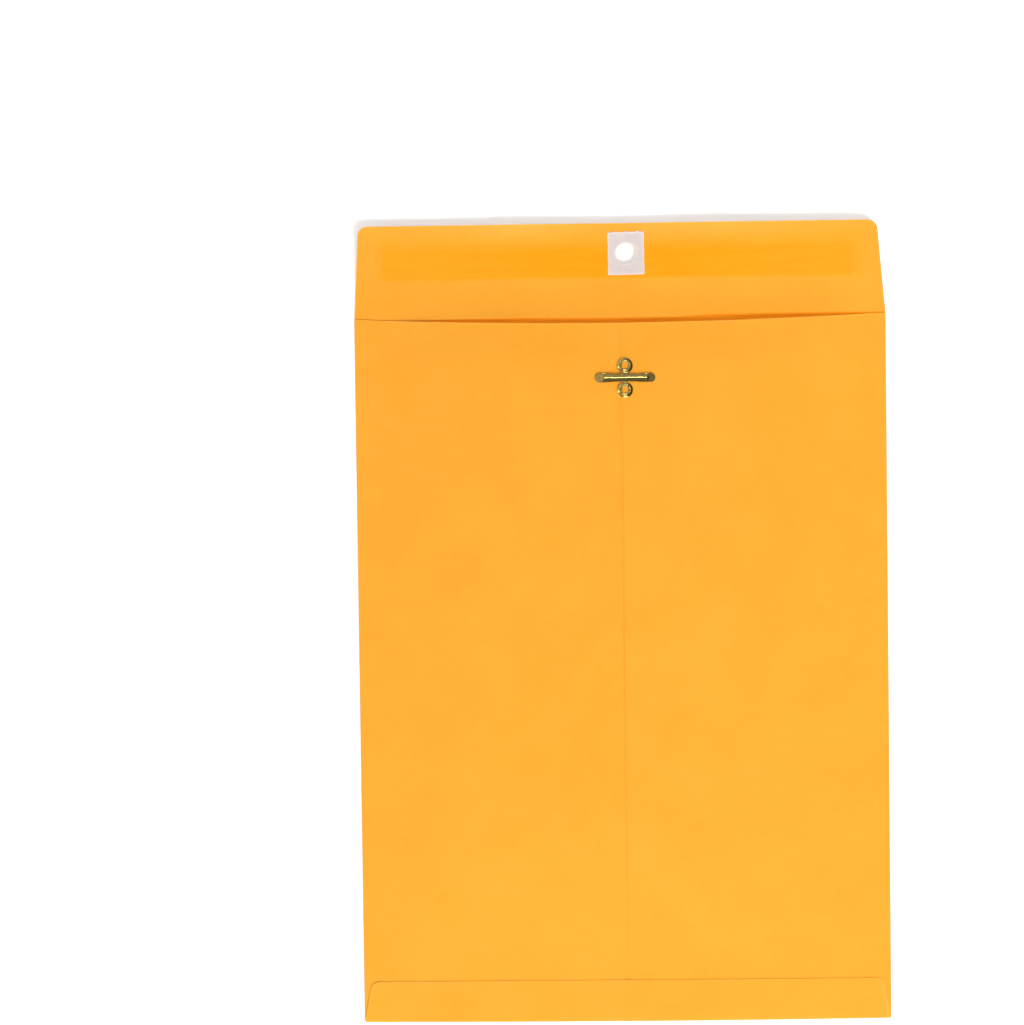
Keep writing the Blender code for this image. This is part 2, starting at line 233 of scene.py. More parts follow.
def kraftCoat(shade, place):  # colour, roughness and relief of the paper
    clouds = place.noise(kraft["cloud"], 4)
    mottle = place.noise(kraft["mottle"], 4, 0.6)
    strands = fibres(place, kraft)
    specks = place.flecks(kraft["speckSpacing"], kraft["speckSize"])
    tone = (clouds * 0.6 + mottle * 0.4).ramp(0.3, 0.7)
    base = tone.mix(colour(*kraft["deep"]), colour(*kraft["bright"]))
    base = (strands.ramp(0.6, 0.8) * kraft["fibreShare"]).mix(base, colour(*kraft["fibre"]))
    base = (specks * kraft["speckShare"]).mix(base, colour(*kraft["speck"]))
    # paler paper: real wear along edges, folds and crease, and painted highlight along the flap's
    # curled edge
    wornAndSheen = stored(shade, "wearAndSheen") * (0.55 + mottle * 0.6)
    base = (wornAndSheen * kraft["wearAndSheenShare"]).mix(base, colour(*kraft["wornAndSheen"]))
    roughness = kraft["roughness"] + (mottle - 0.5) * 0.2 + wornAndSheen * 0.1
    return base, roughness, strands * 0.6 + mottle * 0.5 + clouds * 0.4


def kraftFinish():
    material, shade = newFinish("goldenKraft")
    base, roughness, height = kraftCoat(shade, restPlace(shade))
    # painted shade and glow inside the pocket: a deeper colour and an emission, where the mesh's
    # mask is set
    pocketShadeAndGlow = stored(shade, "pocketShadeAndGlow")
    base = pocketShadeAndGlow.mix(base, colour(*kraft["paintedPocketShade"]))
    # painted shade along the crease, in the part of the mouth's slit that the lip does not shadow
    base = stored(shade, "paintedSlitShade").mix(base, colour(*kraft["paintedSlitShade"]))
    surface = shade.node("ShaderNodeBsdfPrincipled", {}, {
        "Base Color": base,
        "Roughness": roughness,
        "Specular IOR Level": 0.3,
        "Emission Color": pocketShadeAndGlow.mix(colour(0, 0, 0), colour(*kraft["through"])),
        "Emission Strength": 1.0,
        "Normal": height.bump(kraft["relief"], 0.35),
    }, "BSDF")
    closeFinish(shade, surface)
    return material


gum = {
    "film": 0.05 * mm,
    "thin": (1.0, 0.385, 0.012),
    "thick": (1.0, 0.355, 0.004),
    "fade": 1.6 * mm,  # how softly the coat ends
    "drag": 1.2 * mm,  # how far its ends wander
    "short": 2.3 * mm,  # left end of the film, almost bare
    "roughness": 0.2,
}


def gumFinish():
    material, shade = newFinish("driedGum")
    place = restPlace(shade)
    x, y, z = place.axes()
    wander = (place.noise(9 * mm, 3) - 0.5) * (2 * gum["drag"])
    streaks = place.stretch(0.12, 1, 1).noise(2.2 * mm, 3)
    inLeft = (x - gumLow.x - gum["short"] + wander).ramp(0, gum["fade"])
    inRight = (gumHigh.x - x + wander).ramp(0, 5 * gum["fade"])
    inLow = (y - gumLow.y + wander * 0.3).ramp(0, gum["fade"])
    inHigh = (gumHigh.y - y + wander).ramp(0, 5 * gum["fade"])
    middle = 1 - ((x - holeX) / gumHigh.x).size().ramp(0.1, 1.1) * 0.3
    cover = inLeft * inRight * inLow * inHigh * middle * (0.85 + streaks * 0.2)
    coat = streaks.ramp(0.3, 0.7).mix(colour(*gum["thick"]), colour(*gum["thin"]))
    base, roughness, height = kraftCoat(shade, place)
    relief = height * 0.6 + streaks * 0.5
    surface = shade.node("ShaderNodeBsdfPrincipled", {}, {
        "Base Color": cover.mix(base, coat),
        "Roughness": roughness + (gum["roughness"] - roughness) * cover,
        "Specular IOR Level": 0.14,
        "Normal": relief.bump(0.04 * mm, 0.25),
    }, "BSDF")
    closeFinish(shade, surface)
    return material


patch = {
    "pulp": (0.70, 0.60, 0.585),
    "light": (0.74, 0.64, 0.62),
    "edge": (0.88, 0.79, 0.74),
    "smudge": (0.66, 0.58, 0.50),
    "fibreLength": 1.6 * mm,
    "fibreWidth": 0.16 * mm,
    "fibreTurns": (35, -40),  # degrees
    "width": patchHigh.x - patchLow.x,
    "length": patchHigh.y - patchLow.y,
    "skew": 0.7,  # degrees
    # torn bits of its top edge: place, height and width in mm
    "nubs": ((-4.3, 0.42, 0.55), (0.1, 0.32, 0.7), (5.2, 0.5, 0.6)),
    "tornRun": 1.5 * mm,  # how far below the top edge the tear reaches
    "sideWave": 0.08 * mm,
    "sideRun": 1.3 * mm,
    "leftCurl": 0.12 * mm,
    "topCurl": 0.14 * mm,
    "thick": 0.1 * mm,
    "bed": 0.12 * mm,  # from the flap's paper up to the patch's middle
    "edgeReach": 0.4 * mm,  # how far in from its edges the paper is paler
    "mesh": 0.8 * mm,
}


def patchFinish():
    material, shade = newFinish("patchPaper")
    place = restPlace(shade)
    mottle = place.noise(2.4 * mm, 4, 0.6)
    strands = fibres(place, patch)
    x, y, z = place.axes()
    base = mottle.ramp(0.3, 0.7).mix(colour(*patch["pulp"]), colour(*patch["light"]))
    base = (strands.ramp(0.6, 0.8) * 0.3).mix(base, colour(*patch["edge"]))
    smudgeX = (x - holeX - 0.5 * mm) / (1.6 * mm)
    smudgeY = (y - holeY + 6.9 * mm) / (0.6 * mm)
    smudge = 1 - (smudgeX * smudgeX + smudgeY * smudgeY).ramp(0.1, 1.2)
    base = (smudge * 0.5).mix(base, colour(*patch["smudge"]))
    base = stored(shade, "wearAndSheen").mix(base, colour(*patch["edge"]))
    surface = shade.node("ShaderNodeBsdfPrincipled", {}, {
        "Base Color": base,
        "Roughness": 0.7 + (mottle - 0.5) * 0.2,
        "Specular IOR Level": 0.25,
        "Normal": (strands * 0.6 + mottle * 0.4).bump(0.04 * mm, 0.4),
    }, "BSDF")
    closeFinish(shade, surface)
    return material


glue = {
    "clear": (0.82, 0.66, 0.40),
    "amber": (0.70, 0.47, 0.20),
    "seamThick": 0.1 * mm,
    "seamRise": 0.09 * mm,  # from the paper up to the film's middle
    "seamDrift": 0.5 * mm,
    "bottomThick": 0.05 * mm,
    "bottomDrop": 0.14 * mm,  # from the flap's underside down to the film's middle
    "bottomDrift": 0.4 * mm,
}


def glueFinish():
    material, shade = newFinish("driedGlue")
    place = restPlace(shade)
    runs = place.stretch(1, 0.15, 1).noise(1.8 * mm, 3)
    beads = place.noise(5 * mm, 3)
    surface = shade.node("ShaderNodeBsdfPrincipled", {}, {
        "Base Color": (runs * 0.5 + beads * 0.5).ramp(0.3, 0.7).mix(
            colour(*glue["clear"]), colour(*glue["amber"])),
        "Roughness": 0.3 + beads * 0.2,
        "Normal": (runs * 0.6 + beads * 0.4).bump(0.04 * mm, 0.5),
    }, "BSDF")
    closeFinish(shade, surface)
    return material


brass = {
    "plate": (0.76, 0.54, 0.16),
    "olive": (0.60, 0.44, 0.13),
    "tarnish": (0.30, 0.19, 0.06),
    "roughness": 0.08,
}


def brassFinish():
    material, shade = newFinish("stampedBrass")
    place = restPlace(shade)
    stain = place.noise(3 * mm, 4, 0.6)
    scratches = place.stretch(0.05, 1, 1).noise(0.12 * mm, 2)
    crossed = place.turned(64).stretch(0.05, 1, 1).noise(0.1 * mm, 2)
    pits = place.flecks(0.9 * mm, 0.12)
    base = stain.ramp(0.35, 0.7).mix(colour(*brass["plate"]), colour(*brass["olive"]))
    base = (pits * 0.6).mix(base, colour(*brass["tarnish"]))
    surface = shade.node("ShaderNodeBsdfPrincipled", {}, {
        "Base Color": base,
        "Metallic": 1.0,
        "Roughness": brass["roughness"] + stain.ramp(0.4, 0.8) * 0.04 + scratches * 0.03,
        "Normal": (scratches * 0.5 + crossed * 0.3 - pits * 0.4).bump(0.012 * mm, 0.02),
    }, "BSDF")
    closeFinish(shade, surface)
    return material


# sheets in mesh code
def ease(t):
    t = np.clip(t, 0, 1)
    return t * t * (3 - 2 * t)


def lines(first, last, step):  # even lines about this far apart
    count = max(1, round(abs(last - first) / step))
    return list(np.linspace(first, last, count + 1))


crowd = (0, 0.15, 0.4, 0.8, 1.4, 2.2)  # where lines stand at a free edge, in mm from it
rollLines = list(np.linspace(-1, 0, 11))[:-1]  # round a rolled fold


def edgeLines(edge, inward):
    return [edge + inward * away * mm for away in crowd]


def cornerLines(length, corner):  # round a corner, ending at the free edge
    return [length - corner * (1 - np.sin(angle)) for angle in np.linspace(0, pi / 2, 9)]


def cornerLoss(corner, away):  # how far a rounded corner draws an edge in
    reach = np.clip(corner - away, 0, corner)
    return corner - np.sqrt(corner ** 2 - reach ** 2)


def evenRound(values, middle, half, steps):  # even lines across a hole's block
    kept = [v for v in values if abs(v - middle) > half + 0.3 * mm]
    return sorted(kept + list(np.linspace(middle - half, middle + half, steps + 1)))


def flatGrid(columns, rows, hole=None):
    across = len(columns)
    points = [(u, v) for v in rows for u in columns]
    cells = [(i, j) for j in range(len(rows) - 1) for i in range(across - 1)]
    if hole:
        (u, v), half = hole["centre"], hole["block"]
        first, last = nearest(columns, u - half), nearest(columns, u + half)
        low, high = nearest(rows, v - half), nearest(rows, v + half)
        cells = [(i, j) for i, j in cells if not (first <= i < last and low <= j < high)]
    faces = [(j * across + i, j * across + i + 1, (j + 1) * across + i + 1, (j + 1) * across + i)
             for i, j in cells]
    if hole:
        ring = [low * across + i for i in range(first, last)]
        ring += [j * across + last for j in range(low, high)]
        ring += [high * across + i for i in range(last, first, -1)]
        ring += [j * across + first for j in range(high, low, -1)]
        faces += holeFaces(points, ring, hole)
    return dropLoose(np.array(points), faces)


def nearest(values, wanted):
    return int(np.argmin(np.abs(np.array(values) - wanted)))


def holeFaces(points, ring, hole):  # rings of faces from a square block in to a round hole
    centre = np.array(hole["centre"])
    faces = []
    outer = [np.array(points[i]) - centre for i in ring]
    for step in range(1, hole["rings"] + 1):
        share = step / hole["rings"]
        inner = []
        for arm in outer:
            edge = arm / np.linalg.norm(arm) * hole["radius"]
            inner.append(len(points))
            points.append(tuple(centre + arm + (edge - arm) * share))
        for i in range(len(ring)):
            after = (i + 1) % len(ring)
            faces.append((ring[i], ring[after], inner[after], inner[i]))
        ring = inner
    return faces


def dropLoose(points, faces):
    used = sorted({i for face in faces for i in face})
    place = {old: new for new, old in enumerate(used)}
    return points[used], [tuple(place[i] for i in face) for face in faces]


def surfaceNormals(points, faces):
    normals = np.zeros_like(points)
    for a, b, c, d in faces:
        facing = np.cross(points[c] - points[a], points[d] - points[b])
        for i in (a, b, c, d):
            normals[i] += facing
    return normals / np.linalg.norm(normals, axis=1)[:, None]


def thickSheet(flat, place, thick):  # points and faces of a closed sheet about its middle
    points, faces = flat
    middle = np.stack(np.broadcast_arrays(*place(points[:, 0], points[:, 1])), axis=1)
    offset = surfaceNormals(middle, faces) * thick / 2
    count = len(middle)
    under = [tuple(i + count for i in reversed(face)) for face in faces]
    edges = {(face[i], face[(i + 1) % 4]) for face in faces for i in range(4)}
    rim = [(b, a, a + count, b + count) for a, b in sorted(edges) if (b, a) not in edges]
    return np.vstack([middle + offset, middle - offset]), faces + under + rim


def makePiece(name, points, faces, material, wearAndSheen=None, pocketShadeAndGlow=None, bevel=0):
    mesh = bpy.data.meshes.new(name)
    mesh.from_pydata(points.tolist(), [], faces)
    if bevel:
        softenRim(mesh, bevel, claspX)
    mesh.shade_smooth()
    mesh.set_sharp_from_angle(angle=radians(40))
    rest = mesh.attributes.new("rest", "FLOAT_VECTOR", "POINT")
    rest.data.foreach_set("vector", [value for vertex in mesh.vertices for value in vertex.co])
    if wearAndSheen is not None:
        keepValue(mesh, "wearAndSheen", np.tile(wearAndSheen, 2))
    if pocketShadeAndGlow is not None:  # painted pocket shade and glow, only on the upper face
        keepValue(mesh, "pocketShadeAndGlow", np.concatenate([pocketShadeAndGlow, pocketShadeAndGlow * 0]))
    mesh.materials.append(material)
    piece = bpy.data.objects.new(name, mesh)
    scene.collection.objects.link(piece)
    print(name, len(mesh.polygons), "faces")
    return piece


def keepValue(mesh, name, values):
    kept = mesh.attributes.new(name, "FLOAT", "POINT")
    kept.data.foreach_set("value", values.astype(np.float32))


def softenRim(mesh, width, root):  # leaves the edges at the root square, to meet the next piece
    shape = bmesh.new()
    shape.from_mesh(mesh)
    sharp = [e for e in shape.edges if len(e.link_faces) == 2 and e.calc_face_angle() > radians(60)]
    sharp = [e for e in sharp if max(abs(v.co.x - root) for v in e.verts) > 0.01 * mm]
    bmesh.ops.bevel(shape, geom=sharp, offset=width, segments=3, profile=0.5, affect="EDGES")
    shape.to_mesh(mesh)
    shape.free()


def edgeWear(free):  # by the way in from a free edge
    return np.exp(-free / kraft["edgeReach"])


def foldWear(turn):  # most along the middle of a rolled fold, where turn is -0.5
    return kraft["foldWear"] * np.exp(-np.abs(turn + 0.5) * 3) * (turn < 0)


def joinShells(shells):
    points, faces, start = [], [], 0
    for shellPoints, shellFaces in shells:
        points.append(shellPoints)
        faces += [tuple(i + start for i in face) for face in shellFaces]
        start += len(shellPoints)
    return np.vstack(points), faces


# folded pocket
pocket = {
    "puff": 4 * mm,
    "level": 54 * mm,  # half the width of the level middle
    "riseStart": 2 * mm,
    "riseRun": 65 * mm,
    "mouthDip": 3 * mm,
    "lipDrop": 1.1 * mm,  # how far the back bends down towards its lip
    "lipRun": 19 * mm,
    "ripple": 0.3 * mm,
    "seamCorner": 2.2 * mm,
    "bow": 0.5 * mm,
    "calm": 22 * mm,  # how far round the clasp the paper lies still
    "pucker": 0.12 * mm,
    "puckerReach": 4.1 * mm,
    "puckerWidth": 1.3 * mm,
    "mesh": 3 * mm,
}
wingZ = leftHigh.z - paper - pocket["puff"]
sideRoll = (wingZ + paper) / 2
halfInner = halfWidth - sideRoll
bottomRoll = (wingZ + 2 * layer + paper) / 2
panelY = bottomY + bottomRoll
riseY = bottomHigh.y + pocket["riseStart"]


def acrossPocket(x):
    return ease((halfInner - np.abs(x)) / (halfInner - pocket["level"]))


def alongPocket(y):
    return ease((y - riseY) / pocket["riseRun"])


def ripple(x, y):  # slack in the paper, none near the clasp or the folds
    waves = np.sin(x / 0.0131 + y / 0.047) * np.cos(y / 0.0223 - x / 0.071)
    waves = waves * 0.6 + 0.4 * np.sin(x / 0.031 - y / 0.0127 + 1.3)
    clear = 1 - np.exp(-((x - claspX) ** 2 + (y - claspY) ** 2) / pocket["calm"] ** 2)
    return pocket["ripple"] * (waves - 1) / 2 * acrossPocket(x) * alongPocket(y) * clear


def pucker(x, y):  # paper drawn down round the clasp's rings
    dip = 0
    for end in (-1, 1):
        away = np.hypot(x - claspX, y - claspY - end * clasp["spacing"] / 2)
        ring = (away - pocket["puckerReach"]) / pocket["puckerWidth"]
        dip = dip - pocket["pucker"] * np.exp(-ring ** 2)
    return dip


def foldY(x, y):  # the bottom fold bows out, most in the middle
    bow = pocket["bow"] * (2 - (x / halfWidth) ** 2)
    return y - bow * np.clip((bottomHigh.y - y) / (bottomHigh.y - bottomY), 0, 1)


def lowerZ(x, y):
    drop = pocket["lipDrop"] * ease(1 - (mouthY(x) - y) / pocket["lipRun"])
    rise = (pocket["puff"] - drop) * acrossPocket(x) * alongPocket(y)
    return wingZ + rise + ripple(x, y) + pucker(x, y)


def upperZ(x, y):
    return lowerZ(x, y) + layer * acrossPocket(x)


def mouthY(x):
    return creaseY - pocket["mouthDip"] * (1 - (x / halfWidth) ** 2)


def seamMouthY(x):  # the upper wing's corner is rounded
    return mouthY(x) - cornerLoss(pocket["seamCorner"], x - seamX)


def humpZ(x, u):  # the front panel bows up towards the crease, more in the middle
    side = np.clip(1 - (x / halfInner) ** 2, 0, 1)
    climb = ease(1 + u / flap["humpBefore"]) * (1 - ease(u / flap["humpAfter"]))
    return flap["hump"] * side * climb


def frontPlace(x, y):
    return x, foldY(x, y), paper / 2 + humpZ(x, y - creaseY)


frontPanel = {
    "mesh": 4 * mm,
    "fineMesh": mm,
    "fineReach": 18 * mm,  # how far before the crease the mesh is finer
    "gloom": 0.3,  # share of the painted pocket shade and glow that it has all over
    "gloomReach": 30 * mm,  # how far before the crease that painted shade and glow starts to deepen
    "gloomRun": 26 * mm,
}


def addFront(material):
    columns = lines(-halfInner, halfInner, frontPanel["mesh"])
    finer = creaseY - frontPanel["fineReach"]
    rows = lines(panelY, finer, frontPanel["mesh"])
    rows += lines(finer, creaseY - flap["zone"], frontPanel["fineMesh"])[1:]
    flat = flatGrid(columns, rows)
    points, faces = thickSheet(flat, frontPlace, paper)
    # painted pocket shade and glow: some all over, more towards the crease
    deeper = ease((flat[0][:, 1] - creaseY + frontPanel["gloomReach"]) / frontPanel["gloomRun"])
    pocketShadeAndGlow = frontPanel["gloom"] + (1 - frontPanel["gloom"]) * deeper
    front = makePiece("frontSheet", points, faces, material, pocketShadeAndGlow * 0, pocketShadeAndGlow)
    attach(front, "pocket")
    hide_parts("front_panel")


def wingPiece(name, side, innerX, underside, lip, material, body, node):
    roll = sideRoll - paper / 2

    def place(column, share):
        turn = pi * (1 + np.clip(column, -1, 0))
        flat = np.clip(column, 0, None)
        x = side * (halfInner + roll * np.sin(turn) - flat)
        y = panelY + share * (lip(x) - panelY)
        z = np.where(column < 0, sideRoll - roll * np.cos(turn), underside(x, y) + paper / 2)
        return x, foldY(x, y), z

    width = halfInner - side * innerX
    edgeRun = crowd[-1] * mm
    columns = rollLines + lines(0, width - edgeRun, pocket["mesh"])
    columns += sorted(edgeLines(width, -1))[1:]
    length = creaseY - panelY
    rows = lines(0, 1 - edgeRun / length, pocket["mesh"] / length)
    rows += [1 - away * mm / length for away in crowd[-2::-1]]
    flat = flatGrid(columns, rows)
    points, faces = thickSheet(flat, place, paper)
    u, v = flat[0][:, 0], flat[0][:, 1]
    wearAndSheen = edgeWear((1 - v) * length) + foldWear(u)
    wing = makePiece(name, points, faces, material, wearAndSheen)
    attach(wing, body)
    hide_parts(node)


bottom = {
    "stepRun": 4 * mm,  # how gently it climbs over the seam
    "inset": 3.5 * mm,
    "corner": 3 * mm,
    "settle": 0.1 * mm,  # how far its free edge sinks past the glue's height
    "settleRun": 12 * mm,
    "sideLift": 0.35 * mm,  # how far its left side curls up
    "sideRun": 2.5 * mm,
    "sideRise": 4 * mm,
    "mesh": 3 * mm,
    "fineMesh": 0.5 * mm,
    "rowMesh": 2 * mm,
}


def bottomZ(x):
    climb = ease((x - seamX + bottom["stepRun"]) / bottom["stepRun"])
    return wingZ + layer + layer * np.where(x < seamX, climb, acrossPocket(x))


def bottomEdge(y):  # half the flap's width at this height
    height = bottomHigh.y - bottomY
    loss = cornerLoss(bottom["corner"], bottomHigh.y - y) + cornerLoss(bottomRoll, y - bottomY)
    return halfWidth - bottom["inset"] * (y - bottomY) / height - loss


def bottomPlace(column, row):
    turn = pi * (1 + np.clip(row, -1, 0))
    y = panelY + np.clip(row, 0, None) - (bottomRoll - paper / 2) * np.sin(turn) * (row < 0)
    x = column * bottomEdge(y) / halfWidth
    top = bottomZ(x)
    lift = -bottom["settle"] * ease(np.clip(row, 0, None) / bottom["settleRun"])
    lift = lift * (0.7 + 0.3 * np.sin(x / 0.011 + 0.6) * np.sin(x / 0.037))
    curl = 1 - ease((column + halfWidth) / bottom["sideRun"])
    lift = lift + bottom["sideLift"] * curl * ease(np.clip(row, 0, None) / bottom["sideRise"])
    rolled = paper / 2 + top * (1 - np.cos(turn)) / 2
    return x, foldY(x, y), np.where(row < 0, rolled, top + paper / 2 + lift)


def addBottomFlap(material):
    leftEnd = bottom["mesh"] - halfWidth
    stepStart = seamX - 6 * mm
    stepEnd = seamX + 3 * mm
    columns = lines(-halfWidth, leftEnd, bottom["fineMesh"])[:-1]
    columns += lines(leftEnd, stepStart, bottom["mesh"])[:-1]
    columns += lines(stepStart, stepEnd, bottom["fineMesh"])
    columns += lines(stepEnd, halfWidth, bottom["mesh"])[1:]
    length = bottomHigh.y - panelY
    rows = rollLines + lines(0, length - bottom["corner"], bottom["rowMesh"])[:-1]
    rows += cornerLines(length, bottom["corner"])
    flat = flatGrid(columns, rows)
    points, faces = thickSheet(flat, bottomPlace, paper)
    u, v = flat[0][:, 0], flat[0][:, 1]
    wearAndSheen = edgeWear(np.minimum(length - v, halfWidth - np.abs(u))) + foldWear(v)
    piece = makePiece("bottomFlapSheet", points, faces, material, wearAndSheen)
    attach(piece, "pocket")
    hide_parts("bottom_flap")


def addGlue(material):
    seamLow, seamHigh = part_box("seam_glue")

    def seamPlace(x, y):
        drift = glue["seamDrift"] * np.sin(y / 0.009) * np.where(x > claspX + 5 * mm, 1, -1)
        return x + drift, y, lowerZ(x, y) + paper + glue["seamRise"]

    columns = lines(seamLow.x, seamHigh.x, 1.5 * mm)
    seamFlat = flatGrid(columns, lines(seamLow.y, seamHigh.y, 3 * mm))
    seamShell = thickSheet(seamFlat, seamPlace, glue["seamThick"])
    seam = makePiece("seamGlueFilm", *seamShell, material)
    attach(seam, "pocket")
    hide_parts("seam_glue")

    bottomGlueLow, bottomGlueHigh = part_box("bottom_glue")

    def bottomGluePlace(x, y):
        drift = glue["bottomDrift"] * np.sin(x / 0.008)
        return x, y + drift, bottomZ(x) - glue["bottomDrop"]

    columns = lines(bottomGlueLow.x, bottomGlueHigh.x, 2 * mm)
    bottomFlat = flatGrid(columns, lines(bottomGlueLow.y, bottomGlueHigh.y, 1.5 * mm))
    bottomShell = thickSheet(bottomFlat, bottomGluePlace, glue["bottomThick"])
    film = makePiece("bottomGlueFilm", *bottomShell, material)
    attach(film, "pocket")
    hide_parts("bottom_glue")


# closure flap, with its gum and hole patch
flap = {
    "insetLeft": 2.4 * mm,
    "insetRight": 3.9 * mm,
    "sideFrom": 0.6,  # share of the half width that keeps its columns straight
    "neckRun": 0.3 * mm,  # how soon past the crease it has its full width
    "corner": 3.8 * mm,
    "lift": 3,  # degrees
    "curl": 3 * mm,
    "zone": 2.4 * mm,  # half the width of the crease that bends
    "hump": mm,
    "humpBefore": 14 * mm,
    "humpAfter": 12 * mm,
    "bead": 0.42 * mm,  # how the scored paper stands up along the crease
    "beadInner": 0.45 * mm,
    "beadOuter": 4 * mm,
    "slitShadeBack": 0.35 * mm,  # from the bead's foot to the middle of the painted shade
    "slitShadeHalf": 0.6 * mm,
    "slitShadeOpen": 1.2 * mm,  # the mouth's opening where the painted shade shows in full
    "slitShadeFrom": -85 * mm,  # where along the crease it begins
    "slitShadeRun": 45 * mm,
    "lip": 1.1 * mm,  # further rise of the free edge's lobes
    "lipRun": 9 * mm,
    "lobes": ((-43, 20), (39, 25)),  # place and width in mm
    "wave": 0.3 * mm,
    "droop": 0.22,  # share of its height that the right end loses
    "droopFrom": 19 * mm,  # from the right side in
    "droopRun": 15 * mm,
    "pale": 0.25,  # strength of the painted highlight where the curled edge catches the light
    "paleLobes": 0.95,
    "paleLoss": 0.22,  # share of it that the right half loses
    "paleRun": 11 * mm,
    "creaseWear": 0.25,
    "creaseReach": 0.5 * mm,
    "mesh": 2.5 * mm,
    "rowMesh": 2 * mm,
    "near": 6 * mm,  # as far as this from the crease the mesh is finer
    "nearMesh": 0.6 * mm,
    "creaseMesh": 0.12 * mm,
}
holeX = (patchLow.x + patchHigh.x) / 2
holeY = (patchLow.y + patchHigh.y) / 2
hole = {"centre": (holeX, holeY - creaseY), "radius": 4.5 * mm, "block": 6.6 * mm, "rings": 4}
holeSteps = 12


# where the bead starts to rise, in mm along the crease and in front of it; it wanders towards the
# mouth on the left and near the middle, and away from it on the right
beadRun = (
    (-114, 0), (-105, -0.4), (-98, -1.05), (-92, -1.25), (-85, -1.3), (-72, -0.85), (-59, -0.65),
    (-45, -0.5), (-10, -0.8), (17, -0.95), (26, -0.8), (33, -0.25), (40, 0), (60, 0.15), (88, 0.25),
    (103, 0.25), (114, 0),
)


def beadLine(x):
    along, line = np.array(beadRun).T
    return np.interp(x / mm, along, line) * mm


def lobes(x):  # where the free edge curls up more
    return sum(np.exp(-((x - at * mm) / (width * mm)) ** 2) for at, width in flap["lobes"])


def paintedSheenEdge(x, u):  # painted highlight: paler paper where the curled edge catches the light
    pale = flap["pale"] + flap["paleLobes"] * lobes(x)
    pale = pale * (1 - flap["paleLoss"] * ease(x / (30 * mm)))
    return pale * np.clip(1 - (flapLength - u) / flap["paleRun"], 0, 1) ** 1.3


def flapZ(x, u):  # middle of the flap's paper
    out = np.clip(u, 0, None)
    share = out / flapLength
    rise = out * tan(radians(flap["lift"])) + flap["curl"] * share ** 2
    past = u - beadLine(x)
    bead = flap["bead"] * ease(past / flap["beadInner"])
    bead = bead * np.exp(-np.clip(past, 0, None) / flap["beadOuter"])
    toEdge = np.clip(1 - (flapLength - u) / flap["lipRun"], 0, 1)
    lip = flap["lip"] * (0.35 + 0.65 * lobes(x)) * toEdge ** 2
    waves = np.sin(x / 0.0155 + 0.9) * np.cos(x / 0.041 - 0.4)
    sag = flap["wave"] * (0.5 + 0.5 * waves) * share ** 2
    rightEnd = ease((x - halfWidth + flap["droopFrom"]) / flap["droopRun"])
    droop = 1 - flap["droop"] * rightEnd * share
    return paper / 2 + (rise + lip - sag) * droop + bead + humpZ(x, u)


def flapX(column, u):  # draws the sides in towards the free edge
    out = np.clip(u, 0, None)
    corner = cornerLoss(flap["corner"], flapLength - out)
    neck = (halfWidth - halfInner) * (1 - ease(u / flap["neckRun"]))
    left = flap["insetLeft"] * out / flapLength + corner + neck
    right = flap["insetRight"] * out / flapLength + corner + neck
    start = flap["sideFrom"] * halfWidth
    run = halfWidth - start
    return column + left * ease((-column - start) / run) - right * ease((column - start) / run)


def flapPlace(column, u):
    x = flapX(column, u)
    return x, creaseY + u, flapZ(x, u)


def addFlap(material):
    columns = evenRound(lines(-halfWidth, halfWidth, flap["mesh"]), holeX, hole["block"], holeSteps)
    columns = sorted(set(columns) | set(edgeLines(halfWidth, -1)) | set(edgeLines(-halfWidth, 1)))
    rows = lines(-flap["zone"], flap["zone"], flap["creaseMesh"])
    rows += lines(flap["zone"], flap["near"], flap["nearMesh"])[1:]
    rows += lines(flap["near"], flapLength - flap["corner"], flap["rowMesh"])[1:]
    rows += cornerLines(flapLength, flap["corner"])[1:]
    rows = evenRound(rows, hole["centre"][1], hole["block"], holeSteps)
    flat = flatGrid(columns, rows, hole)
    points, faces = thickSheet(flat, flapPlace, paper)
    u, v = flat[0][:, 0], flat[0][:, 1]
    free = np.minimum(flapLength - v, halfWidth - np.abs(u))
    free = np.minimum(free, np.hypot(u - holeX, v - hole["centre"][1]) - hole["radius"])
    wearAndSheen = edgeWear(free) + flap["creaseWear"] * np.exp(-(v / flap["creaseReach"]) ** 2)
    # painted highlight along the curled edge, added to the real wear
    wearAndSheen = wearAndSheen + paintedSheenEdge(u, v)
    # painted pocket shade and glow on the paper before the bead, seen in the mouth's slit
    pocketShadeAndGlow = 1 - ease((v - beadLine(u)) / (0.3 * mm))
    piece = makePiece("closureFlapSheet", points, faces, material, wearAndSheen, pocketShadeAndGlow)
    # painted shade just before the bead: full where the mouth is open, none at the left end, where
    # the slit is shadowed anyway
    paintedSlitShade = np.exp(-((v - beadLine(u) + flap["slitShadeBack"]) / flap["slitShadeHalf"]) ** 4)
    opened = creaseY - mouthY(u) + beadLine(u)
    paintedSlitShade = paintedSlitShade * ease(opened / flap["slitShadeOpen"])
    paintedSlitShade = paintedSlitShade * ease((u - flap["slitShadeFrom"]) / flap["slitShadeRun"])
    keepValue(piece.data, "paintedSlitShade", np.concatenate([paintedSlitShade, paintedSlitShade * 0]))
    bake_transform(piece)
    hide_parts("closure_flap")


def onFlap(lift):
    return lambda x, u: (x, creaseY + u, flapZ(x, u) + paper / 2 + lift)


